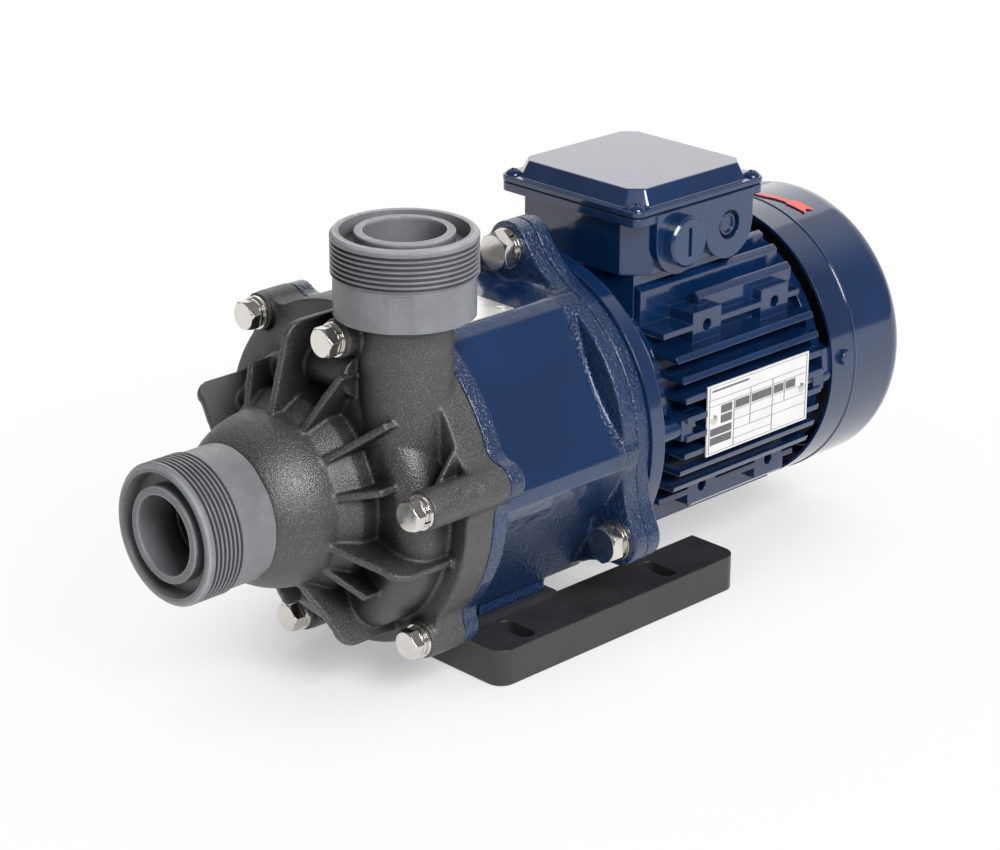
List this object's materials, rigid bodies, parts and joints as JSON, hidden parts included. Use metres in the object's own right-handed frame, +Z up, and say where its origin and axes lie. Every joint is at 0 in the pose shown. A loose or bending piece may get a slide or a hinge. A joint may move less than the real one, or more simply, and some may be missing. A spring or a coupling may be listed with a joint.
{
  "type": "magnetic drive pump",
  "caption": "Close-coupled magnetic drive centrifugal pump: ribbed plastic casing, threaded ports, hexagonal lantern and finned flange motor on a slotted base.",
  "frame": {"origin": "on the floor, in the middle of the four foot slots", "axes": "+Z up, +Y along the pump axis from the suction port to the fan, +X to the side the discharge port is offset to"},
  "size_m": [0.186, 0.427, 0.2218],
  "materials": {
    "base_black": "moulded matte black plastic",
    "steel_dull": "zinc-plated steel",
    "navy_paint": "gloss navy enamel over cast aluminium",
    "navy_sheet": "gloss navy enamel over sheet steel",
    "plate_silver": "bare satin plate without text",
    "casing_black": "glass-filled polypropylene, speckled charcoal",
    "fitting_grey": "grey rigid PVC, satin",
    "stainless": "polished stainless steel",
    "rubber_black": "moulded elastomer",
    "ceramic_white": "ground alumina ceramic",
    "carbon": "resin-bonded carbon",
    "magnet": "nickel-plated magnet",
    "steel_bright": "ground steel",
    "core_steel": "stacked electrical sheet",
    "copper_wire": "lacquered copper wire",
    "brass": "turned brass",
    "board": "moulded terminal board"
  },
  "bodies": {
    "pump_body": {"base_plate": "base_black", "base_screws": "steel_dull", "lantern": "navy_paint", "label_plate": "plate_silver", "label_rivets": "plate_silver", "pump_casing": "casing_black", "suction_fitting": "fitting_grey", "discharge_fitting": "fitting_grey", "casing_bolts": "stainless", "casing_bolts_long": "stainless", "casing_flat_washers": "stainless", "casing_spring_washers": "stainless", "casing_o_ring": "rubber_black", "rear_casing": "casing_black", "pump_shaft": "ceramic_white", "front_thrust_ring": "ceramic_white", "rear_thrust_ring": "ceramic_white", "motor_adapter": "navy_paint", "adapter_bolts": "stainless", "adapter_washers": "stainless", "flange_screws": "steel_dull", "motor_front_shield": "navy_paint", "motor_frame": "navy_paint", "stator_core": "core_steel", "stator_winding": "copper_wire", "bearing_outer_rings": "steel_bright", "motor_rear_shield": "navy_paint", "tie_screws": "steel_dull", "fan_cover": "navy_sheet", "fan_cover_screws": "navy_sheet", "terminal_box": "navy_paint", "lid_gasket": "rubber_black", "terminal_lid": "navy_paint", "lid_screws": "navy_sheet", "terminal_board": "board", "terminal_studs": "brass", "cable_plug_large": "navy_sheet", "cable_plug_small": "navy_sheet", "nameplate": "plate_silver", "nameplate_rivets": "plate_silver"},
    "motor_rotor": {"motor_shaft": "steel_bright", "shaft_key": "steel_dull", "rotor_core": "core_steel", "cooling_fan": "casing_black", "outer_magnet_hub": "steel_dull", "drive_magnets": "magnet", "hub_set_screw": "steel_dull", "bearing_inner_rings": "steel_bright", "bearing_balls": "steel_bright"},
    "impeller_rotor": {"impeller": "casing_black", "impeller_bush": "carbon", "inner_rotor": "casing_black", "inner_magnets": "magnet"}
  },
  "joints": [
    {"name": "rotor_spin", "type": "hinge", "parent": "pump_body", "child": "motor_rotor", "pos_m": [0, 0.0925, 0.09501], "axis": [0, 1, 0], "continuous": true},
    {"name": "impeller_spin", "type": "hinge", "parent": "pump_body", "child": "impeller_rotor", "pos_m": [0, -0.0825, 0.09501], "axis": [0, 1, 0], "continuous": true}
  ],
  "couplings": [
    {"joint": "impeller_spin", "follows": "rotor_spin", "ratio": 1}
  ]
}
